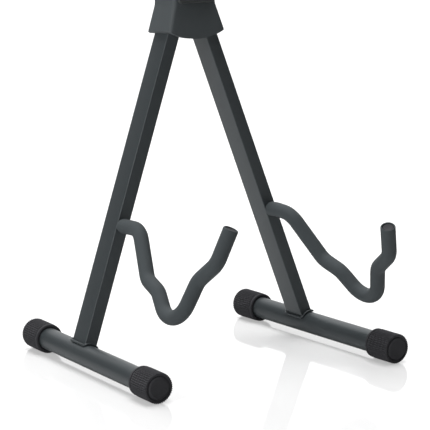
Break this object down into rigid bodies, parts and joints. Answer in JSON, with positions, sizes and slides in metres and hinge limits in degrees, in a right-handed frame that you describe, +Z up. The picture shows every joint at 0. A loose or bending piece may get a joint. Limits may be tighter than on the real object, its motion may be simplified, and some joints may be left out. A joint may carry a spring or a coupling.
{
  "type": "folding guitar stand",
  "caption": "Folding A-frame guitar stand: two flat tube legs on round tube feet, hinged in a moulded head, each with a foam-covered cradle arm.",
  "frame": {"origin": "on the floor, under the middle of the stand's bounding box", "axes": "+Z up, -Y towards the front, where the cradle arms reach out, +X to the stand's own side that is on the right seen from the front"},
  "size_m": [0.348, 0.351, 0.452],
  "materials": {
    "powder_coat": "satin black powder coat on steel tube, with a fine texture",
    "moulded_plastic": "black moulded plastic, lightly textured",
    "pad_rubber": "matt black rubber",
    "cap_rubber": "matt black rubber with fine ribs",
    "foam": "dark grey closed-cell foam, matt and slightly porous",
    "bare_steel": "plain drawn steel",
    "black_zinc": "black zinc plated steel, half gloss",
    "nylon": "natural nylon"
  },
  "bodies": {
    "head": {"hinge_housing": "moulded_plastic", "housing_rear_cover": "moulded_plastic", "rest_pad": "pad_rubber", "cover_screw_1": "black_zinc", "cover_screw_2": "black_zinc", "cover_screw_3": "black_zinc", "pivot_bolt_left": "black_zinc", "pivot_bolt_right": "black_zinc", "pivot_nut_left": "black_zinc", "pivot_nut_right": "black_zinc", "nut_washer_left": "black_zinc", "nut_washer_right": "black_zinc", "pivot_bush_left": "bare_steel", "pivot_bush_right": "bare_steel", "thrust_washer_front_left": "nylon", "thrust_washer_front_right": "nylon", "thrust_washer_rear_left": "nylon", "thrust_washer_rear_right": "nylon"},
    "left_leg": {"leg_left": "powder_coat", "foot_tube_left": "powder_coat", "foot_weld_left": "powder_coat", "foot_cap_front_left": "cap_rubber", "foot_cap_rear_left": "cap_rubber"},
    "right_leg": {"leg_right": "powder_coat", "foot_tube_right": "powder_coat", "foot_weld_right": "powder_coat", "foot_cap_front_right": "cap_rubber", "foot_cap_rear_right": "cap_rubber"},
    "left_arm": {"cradle_rod_left": "bare_steel", "cradle_foam_left": "foam", "cradle_tip_cap_left": "cap_rubber", "arm_washer_left": "nylon", "arm_retainer_left": "black_zinc"},
    "right_arm": {"cradle_rod_right": "bare_steel", "cradle_foam_right": "foam", "cradle_tip_cap_right": "cap_rubber", "arm_washer_right": "nylon", "arm_retainer_right": "black_zinc"}
  },
  "joints": [
    {"name": "left_leg_fold", "type": "hinge", "parent": "head", "child": "left_leg", "pos_m": [-0.00969, 0.07892, 0.405], "axis": [-0.0166, -0.9979, 0.0629], "range_deg": [0, 17]},
    {"name": "right_leg_fold", "type": "hinge", "parent": "head", "child": "right_leg", "pos_m": [0.00969, 0.07892, 0.405], "axis": [-0.0166, 0.9979, -0.0629], "range_deg": [0, 17]},
    {"name": "left_arm_swivel", "type": "hinge", "parent": "left_leg", "child": "left_arm", "pos_m": [-0.09964, 0.06476, 0.15661], "axis": [0.0166, 0.9979, -0.0629], "range_deg": [-6, 60]},
    {"name": "right_arm_swivel", "type": "hinge", "parent": "right_leg", "child": "right_arm", "pos_m": [0.09964, 0.06476, 0.15661], "axis": [0.0166, -0.9979, 0.0629], "range_deg": [-11, 55]}
  ]
}
